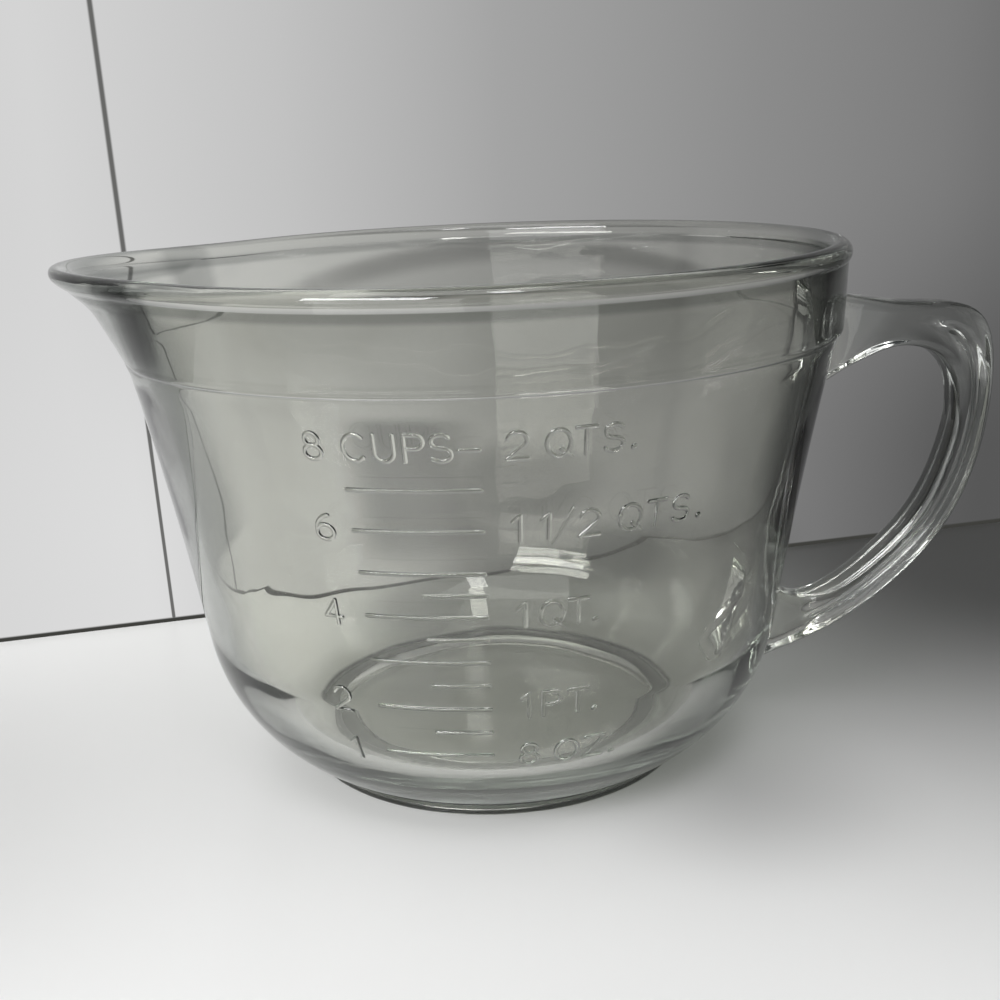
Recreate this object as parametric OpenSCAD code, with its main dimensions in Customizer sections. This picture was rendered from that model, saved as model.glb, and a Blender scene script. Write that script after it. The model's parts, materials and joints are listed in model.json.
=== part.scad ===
// Batter bowl of clear pressed glass, two quarts to its top mark
// Millimetres, +Z up, origin on the bowl's axis at the table, handle towards +X, spout towards -X

/* [Wall] */
// Diameter over the rim bead
rim_d = 200; // [170:1:240]
// Height from the table to the top of the rim
bowl_h = 143.2; // [125:0.1:170]
// Height of the collar, from the ledge to the top of the rim
collar_h = 23.6; // [16:0.1:32]
// How far in from the rim the wall meets the ledge
wall_top_in = 3.1; // [2:0.1:6]
// Diameter of the wall where the rounded bottom begins
wall_low_d = 163.6; // [145:0.1:185]
// Height where the rounded bottom turns into the wall
wall_low_z = 40; // [32:0.5:52]
// How far the middle of the wall is drawn in from a straight line
wall_bow = 0.8; // [0:0.1:2]
// Thickness of the wall at the ledge
wall_top_t = 4.0; // [3:0.1:6]
// Thickness of the wall above the rounded bottom
wall_low_t = 5.6; // [4:0.1:8]
// Thickness of the floor inside the foot
floor_t = 7.5; // [5:0.1:11]

/* [Collar and rim] */
// How far the collar stands out from the wall at the ledge
ledge_step = 1.4; // [0.8:0.1:3]
// Radius of the ledge's rounded lower edge
ledge_round = 1.0; // [0.4:0.1:1.5]
// Thickness of the rounded rim bead
bead_t = 6; // [4.5:0.1:8]
// How far the bead stands out from the collar
bead_step = 0.9; // [0.4:0.1:1.5]

/* [Foot] */
// Diameter over the foot ring
foot_d = 111; // [95:1:125]
// Height of the foot ring, which is also the depth of the recess inside it
foot_h = 3; // [2:0.1:5]
// Width of the foot ring
foot_w = 6.5; // [4:0.1:10]
// Radius of the foot ring's rounded edges
foot_round = 0.8; // [0.3:0.1:1.5]
// How far the foot is set in from the edge of the base
foot_inset = 0.4; // [0.2:0.1:2]

/* [Spout] */
// How far the lip stands out beyond the rim
spout_reach = 16.5; // [10:0.5:26]
// Width of the spout where it leaves the rim, across the bowl
spout_w = 144; // [100:1:160]
// How far the lip rises above the rim
lip_rise = 1.0; // [0:0.1:3]

/* [Handle] */
// How far the back of the handle stands out from the wall
grip_reach = 57.5; // [48:0.5:70]
// Width of the handle across its back
grip_w = 11.5; // [9:0.1:16]
// Radius of the handle's rounded edges
grip_round = 2.6; // [1.5:0.1:3.5]
// How much wider the handle is where it joins the wall
root_flare = 5; // [0:0.1:8]
// Distance from the top of the rim down to the handle's upper root
root_top_drop = 16.2; // [10:0.1:24]
// Height of the handle's lower root
root_low_z = 17; // [12:0.5:26]
// Depth of the groove along each side of the handle
groove_deep = 2.2; // [1:0.1:3]
// Width of that groove at its floor
groove_w = 2.6; // [1.5:0.1:3.5]
// How far the groove lies towards the handle's back
groove_off = 0.8; // [0:0.1:1.2]

/* [Measuring marks] */
// Side of a cube that holds one cup
cup_cube = 61.85; // [58:0.05:64]
// Cups at the top mark
cups = 8; // [4:1:8]
// Width of a raised line
line_w = 1.2; // [0.8:0.1:2]
// How far a line stands out from the wall
line_t = 0.6; // [0.4:0.1:1]
// Angle round the bowl of a whole-cup line
long_line_a = 19.5; // [12:0.5:26]
// Angle of a half-cup line
half_line_a = 10; // [6:0.5:14]
// Angle of the dash between the words at the top mark
dash_a = 3.4; // [2:0.2:5]
// Angle from the handle to the right-hand ends of the lines
scale_az = -94.4; // [-120:0.2:-60]

/* [Hidden] */

glass_colour = [0.74, 0.80, 0.78, 0.45];
edge_colour = [0.60, 0.68, 0.66, 0.55];
turn_steps = 144;
wall_steps = 12;
bend_steps = 14;
bead_steps = 12;
corner_steps = 3;
spout_steps = 36;
side_steps = 7;
handle_steps = 4;
line_face_steps = 6;

// Heights and radii that follow from the sizes above
ledge_z = bowl_h - collar_h;
floor_z = foot_h + floor_t;
rim_r = rim_d / 2;
base_r = foot_d / 2 + foot_inset;
out_top_r = rim_r - wall_top_in;
out_low_r = wall_low_d / 2;
in_top_r = out_top_r - wall_top_t;
in_low_r = out_low_r - wall_low_t;
collar_low_r = out_top_r + ledge_step;
bead_r = bead_t / 2;
bead_c = [rim_r - bead_r, bowl_h - bead_r];

function mix(a, b, t) = a + (b - a) * t;
function rest(list) = [for (i = [1:len(list) - 1]) list[i]];
function reversed(list) = [for (i = [len(list) - 1:-1:0]) list[i]];

// Wall between the rounded bottom and the ledge: a straight line drawn in by wall_bow
function wall_r(low_r, top_r, t) = mix(low_r, top_r, t) - 4 * wall_bow * t * (1 - t);
function lean(low_r, top_r) = atan((top_r - low_r - 4 * wall_bow) / (ledge_z - wall_low_z));
function wall_line(low_r, top_r) = [for (i = [0:wall_steps])
    let (t = i / wall_steps) [wall_r(low_r, top_r, t), mix(wall_low_z, ledge_z, t)]];
function arc(c, r, from, to, n) = [for (i = [0:n])
    let (a = mix(from, to, i / n)) [c.x + r * cos(a), c.y + r * sin(a)]];

// Outer bottom: one arc that leaves the edge of the base and runs on into the wall
out_lean = lean(out_low_r, out_top_r);
out_chord = [base_r - out_low_r, foot_h - wall_low_z];
out_bend_r = (out_chord * out_chord) / (2 * (out_chord * [-cos(out_lean), sin(out_lean)]));
out_bend_c = [out_low_r, wall_low_z] + out_bend_r * [-cos(out_lean), sin(out_lean)];
out_start_a = -asin((out_bend_c.y - foot_h) / out_bend_r);
outer_bend = arc(out_bend_c, out_bend_r, out_start_a, -out_lean, bend_steps);
outer_wall = wall_line(out_low_r, out_top_r);
outer_line = concat(outer_bend, rest(outer_wall));

// Inner bottom: an arc that runs level out of the floor and on into the wall
in_lean = lean(in_low_r, in_top_r);
in_bend_r = (wall_low_z - floor_z) / (1 - sin(in_lean));
in_bend_c = [in_low_r - in_bend_r * cos(in_lean), floor_z + in_bend_r];
inner_bend = arc(in_bend_c, in_bend_r, -90, -in_lean, bend_steps);
inner_wall = wall_line(in_low_r, in_top_r);
inner_line = concat(inner_bend, rest(inner_wall));

// Section of the collar: ledge, outer side, round bead, and down the inside
ledge_line = arc([collar_low_r - ledge_round, ledge_z + ledge_round], ledge_round, -90, 0, corner_steps);
bead_line = concat([[rim_r - bead_step, bowl_h - bead_t]], arc(bead_c, bead_r, -45, 180, bead_steps));
collar_line = concat([[in_top_r, ledge_z]], ledge_line, bead_line);

// Solid outline of the whole bowl without its spout, which the handle and the lines are cut to
full_line = concat([[0, foot_h]], outer_line, [for (p = collar_line) if (p.x > in_top_r) p],
    [[0, bowl_h]]);

function r_at(line, z, i = 0) = z <= line[i + 1].y || i + 2 >= len(line)
    ? mix(line[i].x, line[i + 1].x, (z - line[i].y) / (line[i + 1].y - line[i].y))
    : r_at(line, z, i + 1);

module ring(line, from = 0, sweep = 360)
    rotate_extrude(angle = sweep, start = from, $fn = turn_steps) polygon(line);

// Floor and rounded bottom
module bowl_bottom()
    color(glass_colour)
        ring(concat([[0, foot_h]], outer_bend, reversed(inner_bend), [[0, floor_z]]));

// Tapered wall from the rounded bottom up to the ledge
module bowl_wall()
    color(glass_colour) ring(concat(outer_wall, reversed(inner_wall)));

// The collar goes round the bowl from one side of the spout to the other
spout_half = asin(spout_w / 2 / rim_r);
module rim_collar()
    color(glass_colour)
        ring(collar_line, spout_half - 180, 360 - 2 * spout_half);

module foot_ring()
    color(edge_colour)
        ring(concat(
            arc([foot_d / 2 - foot_round, foot_round], foot_round, -90, 0, corner_steps),
            [[foot_d / 2, foot_h], [foot_d / 2 - foot_w, foot_h]],
            arc([foot_d / 2 - foot_w + foot_round, foot_round], foot_round, 180, 270, corner_steps)));

// A solid skin over rings of points, all with as many points, closed at both ends
module loft(rings) {
    n = len(rings[0]);
    last = len(rings) - 1;
    sides = [for (k = [0:last - 1], i = [0:n - 1], half = [0, 1])
        let (j = (i + 1) % n, a = k * n)
        half == 0 ? [a + i, a + j, a + n + j] : [a + i, a + n + j, a + n + i]];
    ends = [[for (i = [n - 1:-1:0]) i], [for (i = [0:n - 1]) last * n + i]];
    polyhedron([for (ring = rings, p = ring) p], concat(sides, ends), convexity = 10);
}

// The spout is the collar's own section, with its sides divided and pushed out into a lip
// The push fades to nothing at both sides and at the ledge, and flicks out near the top
function between(a, b) = [for (i = [1:side_steps - 1]) mix(a, b, i / side_steps)];
spout_line = concat([[in_top_r, ledge_z]], ledge_line,
    between(ledge_line[corner_steps], bead_line[0]), bead_line,
    between(bead_line[len(bead_line) - 1], [in_top_r, ledge_z]));
lip_sharp_share = 1.15;
slow_share = 0.72;
flick_from_share = 0.52;
flick_to_share = 0.92;
function ease(t) = let (c = min(max(t, 0), 1)) c * c * (3 - 2 * c);
function push_round(u) = pow((1 + cos(180 * u)) / 2, lip_sharp_share);
function push_up(s) = slow_share * s
    + (1 - slow_share) * ease((s - flick_from_share) / (flick_to_share - flick_from_share));
function spout_ring(a) = [for (p = spout_line)
    let (w = push_round(abs(a) / spout_half), s = (p.y - ledge_z) / collar_h,
        // Under the lip the ledge runs out into the wall
        side = mix(p.x, min(p.x, out_top_r), w * pow(1 - s, 2)),
        r = side + spout_reach * w * push_up(s), z = p.y + lip_rise * w * s * s)
    [r * cos(180 - a), r * sin(180 - a), z]];
module pouring_spout()
    color(edge_colour)
        loft([for (i = [0:spout_steps]) spout_ring(mix(-spout_half, spout_half, i / spout_steps))]);

// Handle: outlines of its back and of the finger gap in the bowl's mid-plane
// Each point is a share of the reach out from the wall and a share of the height between the roots
back_share = [[-0.03, 1.0], [0.37, 0.95], [0.72, 0.96], [0.91, 0.88], [1.0, 0.67], [1.01, 0.48],
    [0.93, 0.33], [0.77, 0.21], [0.54, 0.1], [0.27, 0.03], [-0.03, -0.01]];
gap_share = [[-0.04, 0.72], [0.17, 0.79], [0.41, 0.86], [0.69, 0.82], [0.82, 0.68], [0.81, 0.52],
    [0.76, 0.4], [0.63, 0.3], [0.44, 0.2], [0.23, 0.15], [-0.04, 0.27]];
root_top_z = bowl_h - root_top_drop;
root_top_r = r_at(outer_line, root_top_z);
root_low_r = r_at(outer_line, root_low_z);
function on_handle(q) = let (z = mix(root_low_z, root_top_z, q.y))
    [mix(root_low_r, root_top_r, q.y) + grip_reach * q.x, z];

// Smooth curve led by the points, which starts at the first and ends at the last
function spline(p, f) = (pow(1 - f, 3) * p[0] + (3 * pow(f, 3) - 6 * f * f + 4) * p[1]
    + (1 + 3 * f + 3 * f * f - 3 * pow(f, 3)) * p[2] + pow(f, 3) * p[3]) / 6;
function smooth(pts, t) = let (n = len(pts) - 1, i = min(floor(t * n), n - 1),
    all = concat([2 * pts[0] - pts[1]], pts, [2 * pts[n] - pts[n - 1]]))
    spline([for (k = [i:i + 3]) all[k]], t * n - i);

// Where the flare at the roots ends and the grooves begin and end, along the handle
flare_share = 0.14;
groove_from_share = 0.21;
groove_to_share = 0.88;
groove_fade_share = 0.035;
side_slope_share = 0.3;

function corner(n, y, sn, from) = [for (k = [0:corner_steps]) let (a = from + 90 * k / corner_steps)
    [n - sn * grip_round * (1 - abs(cos(a))), y - grip_round * (1 - abs(sin(a)))]];
function half_section(h, w, deep) = let (g = groove_w / 2, slope = groove_deep * side_slope_share)
    concat(corner(h / 2, w / 2, 1, 0),
        [[groove_off + g + slope, w / 2], [groove_off + g, w / 2 - deep],
        [groove_off - g, w / 2 - deep], [groove_off - g - slope, w / 2]],
        corner(-h / 2, w / 2, -1, 90));
function mirrored(half) = concat(half, [for (q = reversed(half)) [q.x, -q.y]]);
function handle_ring(t) = let (o = smooth([for (q = back_share) on_handle(q)], t),
    i = smooth([for (q = gap_share) on_handle(q)], t),
    h = norm(o - i), out = (o - i) / h, mid = (o + i) / 2,
    flare = root_flare * pow(1 - ease(min(t, 1 - t) / flare_share), 2),
    deep = groove_deep * ease((t - groove_from_share) / groove_fade_share)
        * ease((groove_to_share - t) / groove_fade_share))
    [for (q = mirrored(half_section(h, grip_w + flare, deep)))
        [mid.x + out.x * q.x, q.y, mid.y + out.y * q.x]];
handle_count = (len(back_share) - 1) * handle_steps;
module handle()
    color(edge_colour)
        difference() {
            loft([for (i = [0:handle_count]) handle_ring(i / handle_count)]);
            ring(full_line);
        }

// Measuring marks: each stands at the height to which its cups fill the bowl
fill_line = concat(inner_line, [[bead_c.x - bead_r, bead_c.y]]);
function slice(a, b) = PI * (b.y - a.y) * (a.x * a.x + a.x * b.x + b.x * b.x) / 3;
function fill_z(volume, i = 0) = let (v = slice(fill_line[i], fill_line[i + 1]))
    volume <= v || i + 2 >= len(fill_line) ? mix(fill_line[i].y, fill_line[i + 1].y, volume / v)
        : fill_z(volume - v, i + 1);
function cup_z(n) = fill_z(n * pow(cup_cube, 3));
top_line_z = ledge_z - line_w;

// One raised line that follows the wall, with a rounded face
module mark(z, sweep, from)
    ring([for (k = [0:line_face_steps])
        let (a = mix(-90, 90, k / line_face_steps), y = z + line_w / 2 * sin(a))
        [r_at(outer_line, y) + line_t * cos(a), y]], from, sweep);

module cup_lines()
    color(edge_colour) {
        for (n = [1:cups - 1])
            if (cup_z(n) < top_line_z) mark(cup_z(n), long_line_a, scale_az - long_line_a);
        if (cup_z(cups) < top_line_z) mark(cup_z(cups), dash_a, scale_az - dash_a);
    }

module half_cup_lines()
    color(edge_colour)
        for (n = [1:cups / 2])
            if (cup_z(n + 0.5) < top_line_z) mark(cup_z(n + 0.5), half_line_a, scale_az - half_line_a);

bowl_bottom();
bowl_wall();
rim_collar();
pouring_spout();
handle();
foot_ring();
cup_lines();
half_cup_lines();
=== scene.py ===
# Batter bowl of clear pressed glass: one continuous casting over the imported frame, on a pale table
import json
from math import asin, atan, atan2, cos, degrees, floor, hypot, pi, radians, sin, sqrt

import bmesh
import bpy
from mathutils import Matrix, Vector, noise

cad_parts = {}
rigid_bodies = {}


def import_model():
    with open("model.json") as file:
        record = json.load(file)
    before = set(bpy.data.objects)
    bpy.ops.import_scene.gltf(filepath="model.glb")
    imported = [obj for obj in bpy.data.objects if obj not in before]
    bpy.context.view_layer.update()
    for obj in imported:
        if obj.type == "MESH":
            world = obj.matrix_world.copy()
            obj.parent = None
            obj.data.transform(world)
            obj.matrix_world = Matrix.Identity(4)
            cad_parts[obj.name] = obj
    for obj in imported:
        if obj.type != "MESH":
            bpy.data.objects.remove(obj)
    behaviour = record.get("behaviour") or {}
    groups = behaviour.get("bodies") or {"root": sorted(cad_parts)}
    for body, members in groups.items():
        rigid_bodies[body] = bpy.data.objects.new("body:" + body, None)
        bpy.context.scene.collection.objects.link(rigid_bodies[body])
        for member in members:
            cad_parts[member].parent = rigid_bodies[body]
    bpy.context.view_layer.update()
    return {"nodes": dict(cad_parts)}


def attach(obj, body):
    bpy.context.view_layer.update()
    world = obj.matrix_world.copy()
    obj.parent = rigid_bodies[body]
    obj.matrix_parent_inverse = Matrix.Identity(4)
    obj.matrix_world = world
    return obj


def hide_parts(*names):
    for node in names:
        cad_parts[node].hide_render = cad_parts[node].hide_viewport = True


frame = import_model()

# Sizes of the casting in millimetres: the solids', with a softer ledge, inner bend and edges of the handle
RIM_R, RIM_Z, LEDGE_Z = 100.0, 143.2, 119.6
WALL_TOP_R, WALL_LOW_R, WALL_LOW_Z, WALL_BOW = 96.9, 81.8, 40.0, 0.8
WALL_TOP_T, WALL_LOW_T, FLOOR_Z = 4.0, 5.6, 10.5
COLLAR_R, COLLAR_LEAN, LEDGE_ROUND, LEDGE_HOLLOW = 98.3, 0.034, (0.9, 1.7), (0.5, 1.1)
BEAD_R, BEAD_STEP = 3.0, 0.9
FOOT_R, FOOT_H, FOOT_W, FOOT_ROUND, BASE_R = 55.5, 3.0, 6.5, 0.8, 55.9
RECESS_ROUND = 0.6
SPOUT_REACH, SPOUT_W, LIP_RISE = 16.5, 144.0, 1.0
GRIP_REACH, GRIP_W, GRIP_ROUND, ROOT_FLARE = 57.5, 11.5, 3.0, 5.0
ROOT_TOP_Z, ROOT_LOW_Z, ROOT_LEAN = 127.0, 17.0, 0.23
GROOVE_DEEP, GROOVE_W, GROOVE_OFF = 1.9, 2.3, 0.8
LINE_W, LINE_T = 1.2, 0.48
MM = 0.001

# The soft corner where the foot meets the bend: how far out from the foot's side and down from its top
FOOT_JOINT = [(0.02, 0.45), (0.12, 0.14)]
# How sharply the spout crests in its middle, and what is left of the ledge there at the rim
SPOUT_CREST, LEDGE_LEFT = 1.15, 0.05
# The lip's share of the spout's reach, and the shares of the collar's height where it starts and that it takes
LIP_SHARE, LIP_START, LIP_SPAN = 0.28, 0.52, 0.4
# Shares of the handle's length: each flared root, and the groove's start, its end and the stretch where it deepens
FLARE_SPAN, GROOVE_START, GROOVE_END, GROOVE_FADE = 0.14, 0.21, 0.88, 0.035
# The fillet at the handle's roots, how deep its start is sunk in the bowl, and the least gap that it swells from
ROOT_FILLET, ROOT_SUNK, ROOT_LEAST = 3.0, 0.25, 0.02
# A point this deep under the outer face, in the wall and in the bend below it, belongs to the inside
WALL_MIDDLE, BEND_MIDDLE = 2.2, 3.0
# Waves of the inside: height and spacing of the broad and of the fine ones, and where they fade below and above
WAVES = [(0.26, 31), (0.05, 12)]
WAVES_LOW, WAVES_LOW_FADE, WAVES_TOP, WAVES_TOP_FADE = 12, 14, RIM_Z - 4, 12

# Counts of steps round and along the casting
TURN, HANDLE_STEPS, WALL_STEPS, BEND_STEPS, BEAD_PARTS = 352, 170, 26, 26, 30
GROOVE_STEPS, EDGE_STEPS, FLOOR_EASING = 22, 7, 60
# Points nearer than this are one point, heights nearer than this are level, and edges sharper than this stay crisp
SAME, LEVEL, CRISP = 1e-4, 0.01, radians(34)


def mix(a, b, t):
    return a + (b - a) * t


def ease(t):
    t = min(max(t, 0.0), 1.0)
    return t * t * (3 - 2 * t)


def arc(cx, cy, r, start, end, n):
    return [(cx + r * cos(mix(start, end, i / n)), cy + r * sin(mix(start, end, i / n))) for i in range(n + 1)]


def between(a, b, n):
    """The points that part the line from a to b into n"""
    return [(mix(a[0], b[0], i / n), mix(a[1], b[1], i / n)) for i in range(1, n)]


def eased(line, passes):
    """The line with its corners eased; its two ends stay"""
    for _ in range(passes):
        inner = [tuple((a + 2 * b + c) / 4 for a, b, c in zip(p, q, r)) for p, q, r in zip(line, line[1:], line[2:])]
        line = [line[0], *inner, line[-1]]
    return line


# ---------------------------------------------------------------- section of the bowl
def lean(low_r, top_r):
    """How far the bowed wall leans from upright where the bend meets it, as an angle"""
    return atan((top_r - low_r - 4 * WALL_BOW) / (LEDGE_Z - WALL_LOW_Z))


def wall_r(low_r, top_r, z):
    """Radius of the bowed wall at a height"""
    t = (z - WALL_LOW_Z) / (LEDGE_Z - WALL_LOW_Z)
    return mix(low_r, top_r, t) - 4 * WALL_BOW * t * (1 - t)


# The outer bend leaves the wall in line with it and ends on the foot
OUT_LEAN = lean(WALL_LOW_R, WALL_TOP_R)
chord = Vector((BASE_R - WALL_LOW_R, FOOT_H - WALL_LOW_Z))
inward = Vector((-cos(OUT_LEAN), sin(OUT_LEAN)))
OUT_BEND_R = chord.dot(chord) / (2 * chord.dot(inward))
OUT_BEND = Vector((WALL_LOW_R, WALL_LOW_Z)) + OUT_BEND_R * inward
# The inner bend keeps the glass nearly even in thickness, and meets the floor at the ring that shows in it
IN_TOP_R, IN_LOW_R = WALL_TOP_R - WALL_TOP_T, WALL_LOW_R - WALL_LOW_T
IN_LEAN = lean(IN_LOW_R, IN_TOP_R)
IN_BEND_R = 41.8
IN_BEND = Vector((IN_LOW_R - IN_BEND_R * cos(IN_LEAN), WALL_LOW_Z + IN_BEND_R * sin(IN_LEAN)))


def out_r(z):
    """Radius of the outer face of the wall or its bend at a height"""
    if z >= WALL_LOW_Z:
        return wall_r(WALL_LOW_R, WALL_TOP_R, z)
    return OUT_BEND.x + sqrt(max(OUT_BEND_R ** 2 - (OUT_BEND.y - z) ** 2, 0))


def bowl_section():
    """Outline from the middle of the recess, round the foot, up the outside, over the rim and down to the floor"""
    heights = [mix(WALL_LOW_Z, LEDGE_Z, i / WALL_STEPS) for i in range(1, WALL_STEPS)]
    foot_in = FOOT_R - FOOT_W
    recess = [(0, FOOT_H)] + between((0, FOOT_H), (foot_in - RECESS_ROUND, FOOT_H), 6)
    foot = (arc(foot_in - RECESS_ROUND, FOOT_H - RECESS_ROUND, RECESS_ROUND, pi / 2, 0, 4)
            + arc(foot_in + FOOT_ROUND, FOOT_ROUND, FOOT_ROUND, pi, 1.5 * pi, 5)
            + arc(FOOT_R - FOOT_ROUND, FOOT_ROUND, FOOT_ROUND, -pi / 2, 0, 5)
            + [(FOOT_R + out, FOOT_H - down) for out, down in FOOT_JOINT])
    bend = arc(*OUT_BEND, OUT_BEND_R, -asin((OUT_BEND.y - FOOT_H) / OUT_BEND_R), -OUT_LEAN, BEND_STEPS)
    outside = [(wall_r(WALL_LOW_R, WALL_TOP_R, z), z) for z in heights]
    hollow = [(WALL_TOP_R + LEDGE_HOLLOW[0] * (1 + x), LEDGE_Z + LEDGE_HOLLOW[1] * (y - 1))
              for x, y in arc(0, 0, 1, pi, pi / 2, 5)]
    round_over = [(COLLAR_R + LEDGE_ROUND[0] * (x - 1), LEDGE_Z + LEDGE_ROUND[1] * (1 + y))
                  for x, y in arc(0, 0, 1, -pi / 2, 0, 7)]
    bead_foot = (RIM_R - BEAD_STEP, RIM_Z - 2 * BEAD_R)
    collar = round_over[1:] + between(round_over[-1], bead_foot, 12) + [bead_foot]
    bead = arc(RIM_R - BEAD_R, RIM_Z - BEAD_R, BEAD_R, -pi / 4, pi, BEAD_PARTS)
    inside_top = (IN_TOP_R, LEDGE_Z)
    inside = between(bead[-1], inside_top, 14) + [inside_top]
    inside += [(wall_r(IN_LOW_R, IN_TOP_R, z), z) for z in reversed(heights)]
    in_bend = arc(*IN_BEND, IN_BEND_R, -IN_LEAN, -asin((IN_BEND.y - FLOOR_Z) / IN_BEND_R), BEND_STEPS)
    floor_line = eased(in_bend + between(in_bend[-1], (0, FLOOR_Z), 20) + [(0, FLOOR_Z)], FLOOR_EASING)
    return recess + foot + bend + outside + hollow + collar + bead + inside + floor_line


# ---------------------------------------------------------------- spout
SPOUT_HALF = asin(SPOUT_W / 2 / RIM_R)


def spout_push(angle, s):
    """A point's share of the push out by its angle from the middle of the spout, and by its height s as well"""
    w = ((1 + cos(pi * min(abs(angle) / SPOUT_HALF, 1))) / 2) ** SPOUT_CREST
    return w, w * ((1 - LIP_SHARE) * s + LIP_SHARE * ease((s - LIP_START) / LIP_SPAN))


def shape_bowl(p):
    """Pours the spun bowl's point out into the spout and gives the inside the slight waves of pressed glass"""
    r, az, z = hypot(p.x, p.y), atan2(p.y, p.x), p.z
    if r < SAME:
        return p
    middle = wall_r(WALL_LOW_R, WALL_TOP_R, z) - WALL_MIDDLE if z > WALL_LOW_Z else out_r(z) - BEND_MIDDLE
    inner = z > FLOOR_Z - LEVEL and r < middle
    if z > LEDGE_Z - LEVEL:
        s = max(z - LEDGE_Z, 0) / (RIM_Z - LEDGE_Z)
        w, push = spout_push(pi - abs(az), s)
        # towards the middle of the spout the ledge dies out in the wall
        r = mix(r, min(r, WALL_TOP_R + LEDGE_LEFT * s), w * (1 - s) ** 2) + SPOUT_REACH * push
        z += LIP_RISE * w * s * s
    if inner:
        fade = ease((WAVES_TOP - p.z) / WAVES_TOP_FADE) * ease((p.z - WAVES_LOW) / WAVES_LOW_FADE)
        r -= fade * sum(high * noise.noise(p / apart) for high, apart in WAVES)
    return Vector((r * cos(az), r * sin(az), z))


# ---------------------------------------------------------------- handle
# Points that lead the handle's outer and inner curve: shares of its reach and of the height between its roots
BACK = [(-0.03, 1.0), (0.37, 0.95), (0.72, 0.96), (0.91, 0.88), (1.0, 0.67), (1.01, 0.48), (0.93, 0.33),
        (0.77, 0.21), (0.54, 0.1), (0.27, 0.03), (-0.03, -0.01)]
GAP = [(-0.04, 0.72), (0.17, 0.79), (0.41, 0.86), (0.69, 0.82), (0.82, 0.68), (0.81, 0.52), (0.76, 0.4),
       (0.63, 0.3), (0.44, 0.2), (0.23, 0.15), (-0.04, 0.27)]
ROOT_TOP_R = out_r(LEDGE_Z) + (ROOT_TOP_Z - LEDGE_Z) * ROOT_LEAN
ROOT_LOW_R = out_r(ROOT_LOW_Z)


def curve_point(shares, t):
    """Point of the smooth curve that the shares lead, in the bowl's mid-plane"""
    pts = [Vector((mix(ROOT_LOW_R, ROOT_TOP_R, v) + GRIP_REACH * u, mix(ROOT_LOW_Z, ROOT_TOP_Z, v)))
           for u, v in shares]
    n = len(pts) - 1
    pts = [2 * pts[0] - pts[1]] + pts + [2 * pts[n] - pts[n - 1]]
    i = min(floor(t * n), n - 1)
    f = t * n - i
    return ((1 - f) ** 3 * pts[i] + (3 * f ** 3 - 6 * f * f + 4) * pts[i + 1]
            + (1 + 3 * f + 3 * f * f - 3 * f ** 3) * pts[i + 2] + f ** 3 * pts[i + 3]) / 6


def handle_section(thick, width, deep):
    """Outline across the handle: rounded edges, and a soft groove sunk in each side"""
    h, w = thick / 2 - GRIP_ROUND, width / 2
    side = [mix(h, -h, i / GROOVE_STEPS) for i in range(1, GROOVE_STEPS)]
    half = [Vector(q) for q in (arc(h, w - GRIP_ROUND, GRIP_ROUND, 0, pi / 2, EDGE_STEPS)
                                + [(x, w - deep * (1 - ease(abs(x - GROOVE_OFF) / GROOVE_W))) for x in side]
                                + arc(-h, w - GRIP_ROUND, GRIP_ROUND, pi / 2, pi, EDGE_STEPS))]
    return half + [Vector((q.x, -q.y)) for q in reversed(half)]


def handle_ring(t):
    """The section at a share of the handle's length; near the bowl it swells into a fillet"""
    back, gap = curve_point(BACK, t), curve_point(GAP, t)
    thick = (back - gap).length
    out, mid = (back - gap) / thick, (back + gap) / 2
    flare = ROOT_FLARE * (1 - ease(min(t, 1 - t) / FLARE_SPAN)) ** 2
    deep = GROOVE_DEEP * ease((t - GROOVE_START) / GROOVE_FADE) * ease((GROOVE_END - t) / GROOVE_FADE)
    ring = []
    for q in handle_section(thick, GRIP_W + flare, deep):
        p = Vector((mid.x + out.x * q.x, q.y, mid.y + out.y * q.x))
        bowl_r = out_r(p.z) if p.z < LEDGE_Z else COLLAR_R + (p.z - LEDGE_Z) * COLLAR_LEAN
        near = min(max(hypot(p.x, p.y) - bowl_r + ROOT_SUNK, ROOT_LEAST), ROOT_FILLET)
        swell = ROOT_FILLET - sqrt(ROOT_FILLET ** 2 - (ROOT_FILLET - near) ** 2)
        ring.append(p + Vector((out.x * q.x, q.y, out.y * q.x)).normalized() * swell)
    return ring


# ---------------------------------------------------------------- raised figures
def loop(cx, cy, rx, ry, start, end, n):
    return [(cx + rx * cos(radians(mix(start, end, i / n))), cy + ry * sin(radians(mix(start, end, i / n))))
            for i in range(n + 1)]


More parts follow.
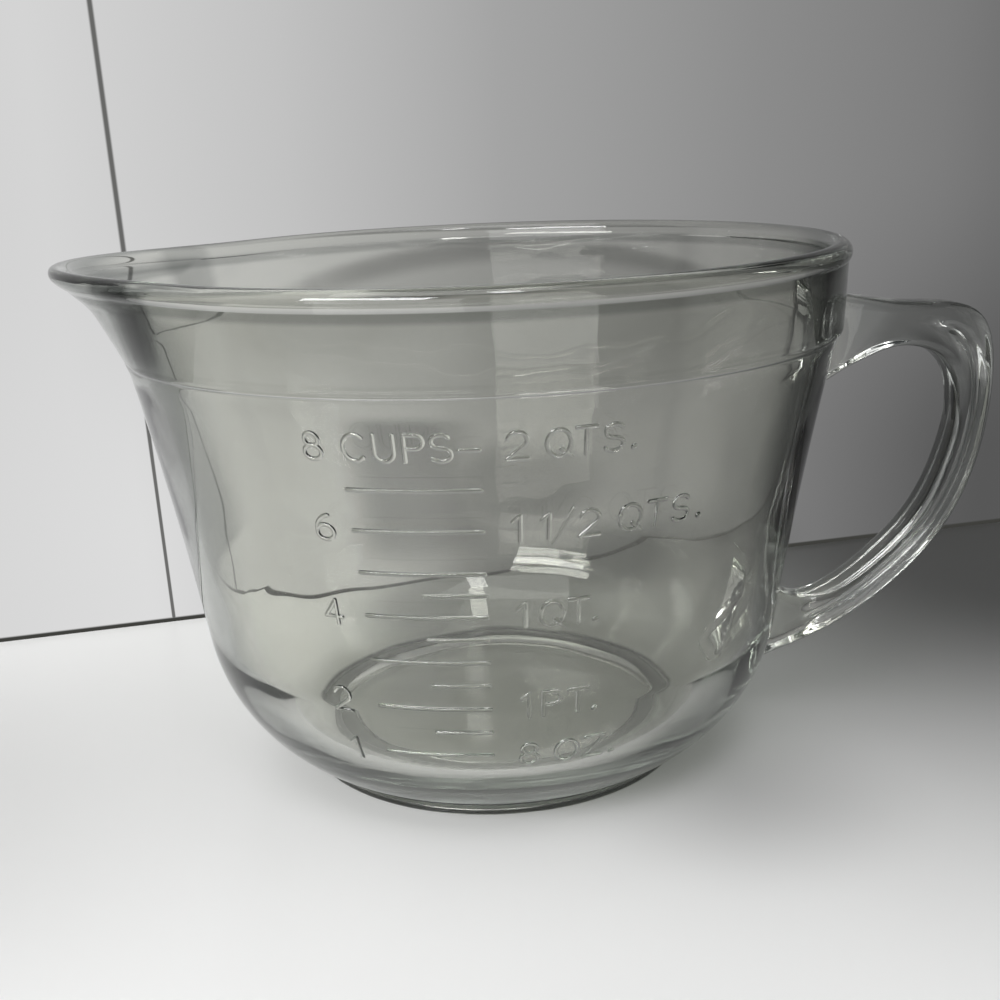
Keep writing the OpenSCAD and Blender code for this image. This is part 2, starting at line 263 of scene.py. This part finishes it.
# Strokes of each figure: x and y in shares of the height between the middles of its top and bottom strokes
STROKES = {
    "1": [[(-0.2, 0.78), (0.06, 1.0)], [(0.06, 1.0), (0.06, 0.0)]],
    "2": [loop(0, 0.69, 0.34, 0.31, 165, -38, 14) + [(-0.36, 0.0)], [(-0.36, 0.0), (0.37, 0.0)]],
    "4": [[(0.14, 0.0), (0.14, 1.0)], [(0.14, 1.0), (-0.34, 0.3)], [(-0.34, 0.3), (0.34, 0.3)]],
    "6": [loop(0, 0.3, 0.35, 0.3, 0, 360, 22), loop(0.3, 0.36, 0.65, 0.64, 184, 100, 10)],
    "8": [loop(0, 0.76, 0.27, 0.24, 0, 360, 20), loop(0, 0.27, 0.34, 0.27, 0, 360, 22)],
    "C": [loop(0.03, 0.5, 0.44, 0.5, 48, 312, 20)],
    "U": [[(-0.35, 1.0)] + loop(0, 0.34, 0.35, 0.34, 180, 360, 14) + [(0.35, 1.0)]],
    "P": [[(-0.3, 0.0), (-0.3, 1.0)],
          [(-0.3, 1.0)] + loop(0.1, 0.74, 0.27, 0.26, 90, -90, 10) + [(-0.3, 0.48)]],
    "S": [loop(0, 0.75, 0.33, 0.25, 30, 270, 14) + loop(0, 0.25, 0.36, 0.25, 90, -150, 14)[1:]],
    "Q": [loop(0, 0.5, 0.43, 0.5, 0, 360, 26), [(0.1, 0.26), (0.45, -0.04)]],
    "O": [loop(0, 0.5, 0.43, 0.5, 0, 360, 26)],
    "T": [[(-0.36, 1.0), (0.36, 1.0)], [(0.0, 1.0), (0.0, 0.0)]],
    "Z": [[(-0.36, 1.0), (0.36, 1.0)], [(0.36, 1.0), (-0.38, 0.0)], [(-0.38, 0.0), (0.38, 0.0)]],
    "/": [[(-0.36, -0.16), (0.36, 1.14)]],
    ".": [[(-0.02, 0.06), (0.02, 0.06)]],
}
# Each row: height of its middle, and its figures with their angle from the scale's middle, in degrees
ROWS = [
    (108.5, "8CUPS2QTS.", (-23.7, -17.6, -13.4, -9.5, -5.8, 4.2, 9.7, 13.4, 17.3, 20.3)),
    (88.7, "611/2QTS.", (-24.1, 4.2, 8.3, 10.6, 14.5, 20.7, 25.0, 29.2, 32.7)),
    (66.8, "41QT.", (-25.3, 4.8, 9.2, 13.3, 16.1)),
    (42.9, "21PT.", (-26.5, 5.3, 9.2, 13.7, 16.6)),
    (28.7, "18OZ.", (-25.6, 5.6, 12.2, 17.2, 20.9)),
]
FIGURE_AZ, FIGURE_H, STROKE_W, STROKE_T, FULL_STOP_FAT = -94.0, 6.2, 0.56, 0.42, 1.35
# Section of a raised stroke in shares of its half width and height: a rounded ridge, its keel sunk in the wall
RIDGE = [(1.16, -0.3), (0.82, 0.33), (0.5, 0.74), (0.18, 0.97), (-0.18, 0.97), (-0.5, 0.74), (-0.82, 0.33),
         (-1.16, -0.3), (-0.8, -1.1), (0.8, -1.1)]
# The round ends of a stroke: angles of their steps in degrees, and how far the ridge sinks to a point there
END_STEPS, END_SINK = (28, 52, 72, 89.9), 0.35


def skin(across, along, place):
    """A sheet of faces bent into a closed skin: place(u, v) gives each point"""
    bm = bmesh.new()
    points = bmesh.ops.create_grid(bm, x_segments=across, y_segments=along, size=0.5)["verts"]
    for v in points:
        v.co = place(v.co.x + 0.5, v.co.y + 0.5)
    bmesh.ops.remove_doubles(bm, verts=bm.verts, dist=SAME)
    bmesh.ops.holes_fill(bm, edges=bm.edges, sides=0)
    bmesh.ops.recalc_face_normals(bm, faces=bm.faces)
    return bm


def stroke(path, z0, az0, half, high):
    """A raised stroke along a path of millimetres on the wall, with round ends"""
    path = [Vector(q) for q in path]
    closed = (path[0] - path[-1]).length < SAME
    stations = []
    for i, p in enumerate(path):
        before = path[i - 1] if i else (path[-2] if closed else p)
        after = path[i + 1] if i + 1 < len(path) else (path[1] if closed else p)
        stations.append((p, (after - before).normalized(), 1.0))
    if not closed:
        (first, start, _), (last, finish, _) = stations[0], stations[-1]
        turns = [radians(q) for q in END_STEPS]
        stations = ([(first - start * half * sin(a), start, cos(a)) for a in reversed(turns)] + stations
                    + [(last + finish * half * sin(a), finish, cos(a)) for a in turns])

    def place(u, v):
        p, d, size = stations[round(v * (len(stations) - 1))]
        side, up = RIDGE[round(u * len(RIDGE)) % len(RIDGE)]
        side, up = side * half * size, high * (up * size - END_SINK * (1 - size))
        x, z = p.x - d.y * side, z0 + p.y + d.x * side
        az, r = radians(az0) + x / out_r(z0), out_r(z) + up
        return Vector((r * cos(az), r * sin(az), z))

    return skin(len(RIDGE), len(stations) - 1, place)


def figures():
    for z, text, angles in ROWS:
        for char, angle in zip(text, angles):
            fat = FULL_STOP_FAT if char == "." else 1.0
            for line in STROKES[char]:
                path = [(x * FIGURE_H, (y - 0.5) * FIGURE_H) for x, y in line]
                yield stroke(path, z, FIGURE_AZ + angle, STROKE_W * fat, STROKE_T * fat)


def joined_points(bm):
    """The points of each solid in the mesh, in the mesh's order"""
    seen = set()
    for first in bm.verts:
        if first in seen:
            continue
        points = [first]
        seen.add(first)
        for v in points:
            for w in (e.other_vert(v) for e in v.link_edges):
                if w not in seen:
                    seen.add(w)
                    points.append(w)
        yield points


def scale_lines():
    """The measuring lines, where the solids have them"""
    for node in ("cup_lines", "half_cup_lines"):
        solids = bmesh.new()
        solids.from_mesh(bpy.data.objects[node].data)
        bmesh.ops.remove_doubles(solids, verts=solids.verts, dist=1e-6)
        for points in joined_points(solids):
            zs = [v.co.z / MM for v in points]
            azs = [degrees(atan2(v.co.y, v.co.x)) for v in points]
            z, az = (min(zs) + max(zs)) / 2, (min(azs) + max(azs)) / 2
            reach = radians(max(azs) - min(azs)) * out_r(z) / 2 - LINE_W / 2
            n = max(int(reach / 2), 1)
            yield stroke([(mix(-reach, reach, i / n), 0) for i in range(n + 1)], z, az, LINE_W / 2, LINE_T)
        solids.free()


# ---------------------------------------------------------------- the casting
def new_object(bm, name):
    """An object in metres from a mesh in millimetres"""
    bmesh.ops.scale(bm, vec=Vector((MM,) * 3), verts=bm.verts)
    mesh = bpy.data.meshes.new(name)
    bm.to_mesh(mesh)
    bm.free()
    made = bpy.data.objects.new(name, mesh)
    bpy.context.scene.collection.objects.link(made)
    return made


def spun_bowl():
    bm = bmesh.new()
    verts = [bm.verts.new((r, 0, z)) for r, z in bowl_section()]
    edges = [bm.edges.new(pair) for pair in zip(verts, verts[1:])]
    bmesh.ops.spin(bm, geom=verts + edges, cent=(0, 0, 0), axis=(0, 0, 1), dvec=(0, 0, 0), angle=2 * pi,
                   steps=TURN, use_merge=True, use_duplicate=False)
    bmesh.ops.remove_doubles(bm, verts=bm.verts, dist=SAME)
    for v in bm.verts:
        v.co = shape_bowl(v.co)
    bmesh.ops.recalc_face_normals(bm, faces=bm.faces)
    return bm


def handle_skin():
    rings = [handle_ring((1 - cos(pi * k / HANDLE_STEPS)) / 2) for k in range(HANDLE_STEPS + 1)]
    n = len(rings[0])
    return skin(n, HANDLE_STEPS, lambda u, v: rings[round(v * HANDLE_STEPS)][round(u * n) % n])


def join(bowl, pieces):
    """Makes the bowl and its pieces one closed skin"""
    adds = bpy.data.collections.new("adds")
    for bm in pieces:
        part = new_object(bm, "add")
        bpy.context.scene.collection.objects.unlink(part)
        adds.objects.link(part)
    union = bowl.modifiers.new("union", "BOOLEAN")
    union.operation, union.solver, union.operand_type, union.collection = "UNION", "MANIFOLD", "COLLECTION", adds
    bowl.data = bpy.data.meshes.new_from_object(bowl.evaluated_get(bpy.context.evaluated_depsgraph_get()))
    bowl.modifiers.clear()
    for part in list(adds.objects):
        bpy.data.objects.remove(part)
    bpy.data.collections.remove(adds)


def smooth(mesh):
    """Merges what the union left doubled, and shades all but the crisp edges smooth"""
    bm = bmesh.new()
    bm.from_mesh(mesh)
    bmesh.ops.remove_doubles(bm, verts=bm.verts, dist=SAME * MM)
    for f in bm.faces:
        f.smooth = True
    for e in bm.edges:
        e.smooth = len(e.link_faces) != 2 or e.calc_face_angle(0) < CRISP
    bm.to_mesh(mesh)
    bm.free()


bowl = new_object(spun_bowl(), "glass_bowl")
join(bowl, [handle_skin(), *figures(), *scale_lines()])
smooth(bowl.data)
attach(bowl, "root")
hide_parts("bowl_bottom", "bowl_wall", "rim_collar", "pouring_spout", "handle", "foot_ring",
            "cup_lines", "half_cup_lines")


# ---------------------------------------------------------------- finishes
class Value:
    """A shader socket that can be used in sums"""

    def __init__(self, tree, socket):
        self.tree, self.socket = tree, socket

    def maths(self, operation, *values):
        return self.tree.add("ShaderNodeMath", {"operation": operation}, dict(enumerate(values)))

    def __add__(self, other):
        return self.maths("ADD", self, other)

    def __sub__(self, other):
        return self.maths("SUBTRACT", self, other)

    def __rsub__(self, other):
        return self.maths("SUBTRACT", other, self)

    def __mul__(self, other):
        return self.maths("MULTIPLY", self, other)

    def __abs__(self):
        return self.maths("ABSOLUTE", self)

    def or_more(self, other):
        return self.maths("MAXIMUM", self, other)

    __radd__, __rmul__ = __add__, __mul__


class Tree:
    """The nodes of one material or of the room"""

    def __init__(self, owner):
        owner.use_nodes = True
        self.nodes, self.links = owner.node_tree.nodes, owner.node_tree.links
        self.nodes.clear()

    def add(self, kind, settings=None, sockets=None, out=0):
        node = self.nodes.new(kind)
        for key, value in (settings or {}).items():
            if key == "stops":
                ramp = node.color_ramp.elements
                while len(ramp) < len(value):
                    ramp.new(0.5)
                for stop, (place, grey) in zip(ramp, value):
                    stop.position, stop.color = place, (grey, grey, grey, 1)
            else:
                setattr(node, key, value)
        for key, value in (sockets or {}).items():
            if isinstance(value, Value):
                self.links.new(value.socket, node.inputs[key])
            else:
                node.inputs[key].default_value = value
        return Value(self, node.outputs[out]) if len(node.outputs) else node

    def place(self):
        return self.add("ShaderNodeTexCoord", out="Object")

    def along(self, vector, axis):
        """How far the vector goes along X, Y or Z"""
        return self.add("ShaderNodeSeparateXYZ", {}, {0: vector}, out=axis)

    def pair(self, x, y):
        return self.add("ShaderNodeCombineXYZ", {}, {0: x, 1: y})

    def flat(self, vector, keep):
        """The vector with only the axes that are kept, as in (1, 1, 0)"""
        return self.add("ShaderNodeVectorMath", {"operation": "MULTIPLY"}, {0: vector, 1: keep})

    def length(self, vector):
        return self.add("ShaderNodeVectorMath", {"operation": "LENGTH"}, {0: vector}, out="Value")

    def distance(self, vector, spot):
        return self.add("ShaderNodeVectorMath", {"operation": "DISTANCE"}, {0: vector, 1: spot}, out="Value")

    def step(self, value, none, full):
        """Grows smoothly from 0 at none to 1 at full"""
        return self.add("ShaderNodeMapRange", {"interpolation_type": "SMOOTHSTEP"}, {0: value, 1: none, 2: full})

    def band(self, value, low, full, full_to, high):
        """1 from full to full_to, and 0 below low and above high"""
        return self.step(value, low, full) * self.step(value, high, full_to)

    def noise(self, place, scale, detail=2.0, rough=0.5, bend=0.0):
        return self.add("ShaderNodeTexNoise", {}, {"Vector": place, "Scale": scale, "Detail": detail,
                                                   "Roughness": rough, "Distortion": bend})

    def colours(self, factor, a, b):
        return self.add("ShaderNodeMix", {"data_type": "RGBA"}, {0: factor, 6: a, 7: b}, out=2)

    def shade(self, factor, a, b):
        return self.add("ShaderNodeMixShader", {}, {0: factor, 1: a, 2: b})

    def ray(self, kind):
        """1 for a ray of this kind: Camera, Shadow, Glossy or Transmission"""
        return self.add("ShaderNodeLightPath", out=f"Is {kind} Ray")

    def seen_directly(self):
        """1 for what the eye sees, straight, mirrored or through the glass"""
        return self.ray("Camera") + self.ray("Glossy") + self.ray("Transmission")


# Colours of the glass: as pressed and under smears; then painted shade in the handle, where its outer face is met
# at a slant, at the spout's shoulders, under the rim's bead, along the handle's inner edge and on the foot's edge
PRESSED, SMEARED, HANDLE_SHADED_GLASS = (0.884, 0.889, 0.846, 1), (0.852, 0.852, 0.802, 1), (0.65, 0.66, 0.645, 1)
SLANT_SHADED_GLASS, SHOULDER_SHADED_GLASS, BEAD_SHADED_GLASS = (0.26, 0.275, 0.265, 1), (0.045, 0.05, 0.047, 1), (0.2, 0.215, 0.205, 1)
GRIP_SHADED_GLASS, FOOT_EDGE_SHADED_GLASS = (0.07, 0.078, 0.074, 1), (0.16, 0.172, 0.155, 1)
# Its shadow, thin and thick, and the body that the light is lost in
THIN_SHADOW, THICK_SHADOW, THICK_Z = (0.86, 0.87, 0.855, 1), (0.60, 0.605, 0.585, 1), (0.015, 0.008)
BODY, BODY_DENSITY = (0.56, 0.60, 0.55, 1), 8.0
# Where they lie, in metres, from where there is none to where it is full
HANDLE_X, OUTER_DEPTH, OUTER_R = (0.098, 0.110), (3 * MM, 1.5 * MM), (0.050, 0.056)
SHOULDER_TURN, SHOULDER_HALF, SHOULDER_Z, NEAR_SIDE = 0.54, (0.0125, 0.0065), (0.117, 0.125), (0.0, -0.02)
BEAD_FOOT_Z, BEAD_FOOT_R = (0.1350, 0.1366, 0.1376, 0.1392), (0.0965, 0.0975)
GRIP_MIDDLE, GRIP_EDGE, GRIP_X = (0.112, 0.0, 0.080), (0.0378, 0.0350), (0.120, 0.134)
FOOT_EDGE_SHADE_R, FOOT_EDGE_SHADE_Z = (0.0492, 0.0497), (0.0036, 0.0028)
# Slant of the face to the eye where the painted shade deepens, and how much sooner it does low down and below the
# spout
SLANT, SHOULDER_SLANT = (0.46, 0.78), (0.06, 0.22)
LOW_Z, LOW_SOONER, SPOUT_X, SPOUT_SOONER = (0.060, 0.030), 0.10, (-0.060, -0.085), 0.12


def clear_glass():
    """Clear pressed glass: faint grey-green body, slight waves and fire-polish ripple, thin smears of handling, and
    painted shade on its edges, handle, bead and foot
    """
    material = bpy.data.materials.new("clear_glass")
    t = Tree(material)
    place = t.place()
    x, y, height = (t.along(place, axis) for axis in "XYZ")
    radius = t.length(t.flat(place, (1, 1, 0)))
    waves = t.noise(place, 34.0, 1.0, 0.4)
    smear = t.step(t.noise(place, 24.0, 6.0, 0.65, 0.6), 0.52, 0.78)
    bump = t.add("ShaderNodeBump", {}, {"Strength": 0.3, "Distance": 0.0008, "Filter Width": 4.0, "Height": waves})
    # painted shade: the handle's glass is tinted darker, standing in for the dim room seen through it
    tint = t.colours(t.step(x, *HANDLE_X), t.colours(smear, PRESSED, SMEARED), HANDLE_SHADED_GLASS)
    # painted shade: the outer face darkens where it is met at a slant, standing in for the dim room its edges gather
    # the outer face below the ledge, by its distance from the middle of the bend
    slant = t.add("ShaderNodeLayerWeight", {}, {"Blend": 0.5}, out="Facing")
    from_bend = t.length(t.pair(radius - OUT_BEND.x * MM, height - OUT_BEND.y * MM))
    outer = t.step(from_bend, *(OUT_BEND_R * MM - deep for deep in OUTER_DEPTH)) * t.step(radius, *OUTER_R)
    # painted shade at the spout's shoulders, darkest on the near side
    off_shoulder = abs(abs(y) + x * SHOULDER_TURN)
    shoulder_shade = t.step(off_shoulder, *SHOULDER_HALF) * t.step(height, *SHOULDER_Z) * t.step(slant, *SHOULDER_SLANT)
    reach = slant + t.step(height, *LOW_Z) * LOW_SOONER + t.step(x, *SPOUT_X) * SPOUT_SOONER
    # painted shade under the rim's bead
    bead_foot = t.band(height, *BEAD_FOOT_Z) * t.step(radius, *BEAD_FOOT_R)
    # painted shade along the handle's inner edge, where its corner looks near black
    inside_grip_shade = t.step(t.distance(t.flat(place, (1, 0, 1)), GRIP_MIDDLE), *GRIP_EDGE) * t.step(x, *GRIP_X)
    # painted shade on the foot's outer edge, where it sits on the table
    foot_edge_shade = t.step(radius, *FOOT_EDGE_SHADE_R) * t.step(height, *FOOT_EDGE_SHADE_Z)
    # each painted shade is laid over the glass's colour by its share
    for share, colour in (((t.step(reach, *SLANT) * outer).or_more(shoulder_shade * 0.6), SLANT_SHADED_GLASS),
                          (shoulder_shade * t.step(y, *NEAR_SIDE) * 0.95, SHOULDER_SHADED_GLASS), (bead_foot * 0.7, BEAD_SHADED_GLASS),
                          (inside_grip_shade * 0.55, GRIP_SHADED_GLASS), (foot_edge_shade, FOOT_EDGE_SHADED_GLASS)):
        tint = t.colours(share, tint, colour)
    glass = t.add("ShaderNodeBsdfPrincipled", {}, {"Base Color": tint, "Roughness": 0.01 + smear * 0.02, "IOR": 1.5,
                                                   "Normal": bump, "Transmission Weight": 1.0})
    thin = t.add("ShaderNodeBsdfTransparent", {}, {"Color": THIN_SHADOW})
    thick = t.add("ShaderNodeBsdfTransparent", {}, {"Color": THICK_SHADOW})
    lit = t.shade(t.ray("Shadow"), glass, t.shade(t.step(height, *THICK_Z), thin, thick))
    body = t.add("ShaderNodeVolumeAbsorption", {}, {"Color": BODY, "Density": BODY_DENSITY})
    t.add("ShaderNodeOutputMaterial", {}, {"Surface": lit, "Volume": body})
    return material


glass = clear_glass()
bowl.data.materials.clear()
bowl.data.materials.append(glass)
for node in frame["nodes"]:
    solid = bpy.data.objects.get(node)
    if solid and solid.type == "MESH":
        for slot in solid.material_slots:
            slot.material = glass


# ---------------------------------------------------------------- table and backdrop
def panel(name, corners, material):
    """A flat stage piece"""
    bm = bmesh.new()
    bm.faces.new([bm.verts.new(c) for c in corners])
    mesh = bpy.data.meshes.new(name)
    bm.to_mesh(mesh)
    bm.free()
    made = bpy.data.objects.new(name, mesh)
    bpy.context.scene.collection.objects.link(made)
    mesh.materials.append(material)


# Painted shade on the table, for its light's fall-off and the bowl's shadows: middle, from where there is none to
# where it is full, strength and colour
TABLE_PAINTED_SHADE = [
    ((-0.20, -0.03, 0.0), (0.18, 0.02), 1.0, (0.56, 0.56, 0.556, 1)),
    ((0.26, 0.15, 0.0), (0.36, 0.09), 1.0, (0.08, 0.08, 0.079, 1)),
    ((0.062, -0.052, 0.0), (0.055, 0.0), 0.45, (0.2, 0.2, 0.198, 1)),
    ((0.0, 0.095, 0.0), (0.062, 0.025), 0.75, (0.2, 0.2, 0.198, 1)),
    ((0.068, 0.132, 0.0), (0.050, 0.020), 0.65, (0.1, 0.1, 0.099, 1)),
]


def table_white():
    """A pale table with painted shade where its light falls off and where the bowl's shadows lie; what the glass
    gathers from far off on it is a painted dark grey, as the room's far side is
    """
    material = bpy.data.materials.new("table_white")
    t = Tree(material)
    place = t.place()
    colour = t.colours(t.noise(place, 9.0, 3.0), (0.78, 0.78, 0.775, 1), (0.82, 0.82, 0.815, 1))
    # painted shade and painted shadows laid over the table's colour
    for middle, edge, strength, shade in TABLE_PAINTED_SHADE:
        colour = t.colours(t.step(t.distance(place, middle), *edge) * strength, colour, shade)
    surface = t.add("ShaderNodeBsdfPrincipled", {}, {"Base Color": colour, "Roughness": 0.32})
    # painted shade: seen in or through the glass, the table far off is a dark grey
    far_off_shade = t.add("ShaderNodeBsdfDiffuse", {}, {"Color": (0.12, 0.12, 0.12, 1)})
    by_glass = (t.ray("Glossy") + t.ray("Transmission")) * t.step(t.length(place), 0.42, 0.85)
    t.add("ShaderNodeOutputMaterial", {}, {"Surface": t.shade(by_glass, surface, far_off_shade)})
    return material


# Painted light: brightness of the wall's glow at the rim's height and at its foot, by share of its middle metre from
# left to right
WALL_HIGH = [(0.0, 0.03), (0.12, 0.3), (0.25, 0.6), (0.36, 0.66), (0.44, 0.54), (0.52, 0.37), (0.62, 0.26),
             (0.7, 0.2), (0.8, 0.08), (0.95, 0.02)]
WALL_LOW = [(0.0, 0.03), (0.12, 0.3), (0.25, 0.62), (0.38, 0.72), (0.45, 0.55), (0.52, 0.32), (0.62, 0.22),
            (0.7, 0.11), (0.8, 0.05), (0.95, 0.02)]
# The bowl's shadow there: middle, height and curve of the arc of its bead, and the edges of each of its shades
ARC_MIDDLE, ARC_Z, ARC_CURVE = 0.513, 0.134, 1.9
BEAD_BELOW, BEAD_ACROSS = (-0.003, 0.001, 0.004, 0.010), (0.43, 0.47, 0.58, 0.62)
SIDE_BELOW, SIDE_Z, SIDE_ACROSS = (-0.002, 0.003), (0.03, 0.09), (0.385, 0.43, 0.60, 0.64)
FOOT_Z, FOOT_ACROSS = (0.024, 0.001), (0.44, 0.53, 0.60, 0.65)
UPRIGHT_LEFT, UPRIGHT_RIGHT, UPRIGHT_LEAN = (0.444, 0.468), (0.532, 0.504), 0.35
UPRIGHT_Z = (0.006, 0.022, 0.062, 0.079)
LYING_ACROSS, LYING_Z, LYING_FLAT, LYING_EDGE = 0.515, 0.036, 2.3, (0.055, 0.022)
# The joint between two boards and the one along the table, and the plain grey of the far ends
BOARDS_ACROSS, BOARDS_Z, BOARDS_LEAN, TABLE_JOINT_Z = 0.3828, 0.16, 0.03, (0.002, 0.0012)
RIGHT_END, LEFT_END = (0.72, 0.86), (0.32, 0.14)
SHADE_GREY, JOINT_GREY, END_GREY = (0.03, 0.032, 0.032, 1), (0.05, 0.05, 0.045, 1), (0.34, 0.34, 0.335, 1)


def backdrop_white():
    """A pale wall whose light is painted on as a glow that falls off to the right and beyond both ends, seen from
    its front only
    """
    material = bpy.data.materials.new("backdrop_white")
    t = Tree(material)
    place = t.place()
    across, height = t.along(place, "X") + 0.5, t.along(place, "Z")
    high = t.add("ShaderNodeValToRGB", {"stops": WALL_HIGH}, {0: across})
    low = t.add("ShaderNodeValToRGB", {"stops": WALL_LOW}, {0: across})
    lit = t.colours(t.step(height, 0.03, 0.16), low, high)
    # the bowl's own shadow: the arc of its bead, a paler shade of its side below that, and its foot
    from_middle = across - ARC_MIDDLE
    below_arc = ARC_Z - ARC_CURVE * (from_middle * from_middle) - height
    bead = t.band(below_arc, *BEAD_BELOW) * t.band(across, *BEAD_ACROSS)
    side = t.step(below_arc, *SIDE_BELOW) * t.step(height, *SIDE_Z) * t.band(across, *SIDE_ACROSS)
    foot = t.step(height, *FOOT_Z) * t.band(across, *FOOT_ACROSS)
    # its darker middle, where the glass is thickest along the light
    upright = (t.step(across, *UPRIGHT_LEFT) * t.step(across + height * UPRIGHT_LEAN, *UPRIGHT_RIGHT)
               * t.band(height, *UPRIGHT_Z))
    lying = t.step(t.length(t.pair(across - LYING_ACROSS, (height - LYING_Z) * LYING_FLAT)), *LYING_EDGE)
    middle = upright.or_more(lying * 0.8)
    shaded = t.colours(side * 0.20 + bead * 0.30 + foot * 0.62 + middle * 0.60, lit, SHADE_GREY)
    far_ends = t.ray("Camera") * (t.step(across, *RIGHT_END) + t.step(across, *LEFT_END))
    shaded = t.colours(far_ends, shaded, END_GREY)
    # the joint between the boards is sharper low down
    from_boards = abs(across - BOARDS_ACROSS + (height - BOARDS_Z) * BOARDS_LEAN)
    boards = t.step(from_boards, t.step(height, 0.04, 0.15) * 0.0005 + 0.0008, 0.0004)
    joints = (boards * 0.85).or_more(t.step(height, *TABLE_JOINT_Z))
    # painted light: the wall glows with its painted brightness and painted shadows for what the eye sees, mirrored
    # or through the glass
    glow = t.add("ShaderNodeEmission", {}, {"Color": t.colours(joints, shaded, JOINT_GREY), "Strength": 1.0})
    paint = t.add("ShaderNodeBsdfDiffuse", {}, {"Color": (0.5, 0.5, 0.49, 1)})
    front = t.shade(t.seen_directly(), paint, glow)
    behind = t.add("ShaderNodeNewGeometry", out="Backfacing")
    t.add("ShaderNodeOutputMaterial", {}, {"Surface": t.shade(behind, front, t.add("ShaderNodeBsdfTransparent"))})
    return material


TABLE_HALF, WALL_HALF, WALL_HEIGHT = 3, 0.9, 0.7
WALL_ALONG, WALL_FOOT = Vector((0.9859, 0.1676, 0)), Vector((0, 0.127, 0))
panel("table", [(x * TABLE_HALF, y * TABLE_HALF, 0) for x, y in ((-1, -1), (1, -1), (1, 1), (-1, 1))], table_white())
left, right, up = WALL_FOOT - WALL_ALONG * WALL_HALF, WALL_FOOT + WALL_ALONG * WALL_HALF, Vector((0, 0, WALL_HEIGHT))
panel("backdrop", [left, right, right + up, left + up], backdrop_white())


# ---------------------------------------------------------------- light
def softbox(name, azimuth, distance, height, size, glow):
    """A soft lamp aimed at the bowl; glow is its brightness, where 1 is white"""
    light = bpy.data.lights.new(name, "AREA")
    light.shape, light.size, light.size_y = "RECTANGLE", size[0], size[1]
    light.energy = glow * pi * size[0] * size[1]
    made = bpy.data.objects.new(name, light)
    made.location = (distance * cos(radians(azimuth)), distance * sin(radians(azimuth)), height)
    made.rotation_euler = (Vector((0, 0, 0.06)) - made.location).to_track_quat("-Z", "Y").to_euler()
    made.visible_camera = False
    bpy.context.scene.collection.objects.link(made)


softbox("window", -128.5, 1.45, 1.05, (1.1, 0.45), 17.6)
softbox("low_window", -121, 1.45, 0.42, (1.2, 0.6), 1.7)
softbox("strip", -82.5, 0.75, 1.35, (0.17, 0.4), 10.0)
softbox("ceiling", -115, 0.45, 1.5, (1.2, 1.0), 2.0)


def room(world):
    """The room: pale past the wall, dim in gloss, and through the glass pale near the ground and dim above"""
    t = Tree(world)
    rise = t.along(t.add("ShaderNodeTexCoord", out="Generated"), "Z")
    through_glass = t.colours(t.step(rise, 0.02, 0.22), (0.45, 0.45, 0.445, 1), (0.055, 0.06, 0.062, 1))
    dim = t.colours(t.ray("Transmission"), (0.09, 0.095, 0.095, 1), through_glass)
    sky = t.add("ShaderNodeBackground", {}, {"Color": t.colours(t.ray("Camera"), dim, (0.78, 0.78, 0.77, 1)),
                                             "Strength": 1.0})
    t.add("ShaderNodeOutputWorld", {}, {"Surface": sky})
    return world


bpy.context.scene.world = room(bpy.data.worlds.new("room"))

# ---------------------------------------------------------------- camera, at the photograph's angle
EYE = Vector((-0.02566898, -0.36708346, 0.17327283))
EYE_RIGHT, EYE_UP = Vector((0.99661647, -0.07090553, -0.04156951)), Vector((0.05770103, 0.24339088, 0.96821045))
camera = bpy.data.cameras.new("camera")
camera.sensor_width, camera.lens = 36.0, 47.465
camera.shift_x, camera.shift_y = 0.02599, -0.03031
camera.clip_start, camera.clip_end = 0.01, 20
viewer = bpy.data.objects.new("camera", camera)
scene = bpy.context.scene
scene.collection.objects.link(viewer)
viewer.matrix_world = (Matrix.Translation(EYE)
                       @ Matrix((EYE_RIGHT, EYE_UP, EYE_RIGHT.cross(EYE_UP))).transposed().to_4x4())
scene.camera = viewer
scene.view_settings.view_transform = "Standard"
scene.cycles.max_bounces = scene.cycles.transmission_bounces = scene.cycles.glossy_bounces = 32
scene.cycles.diffuse_bounces = 2
scene.cycles.caustics_reflective = scene.cycles.caustics_refractive = False
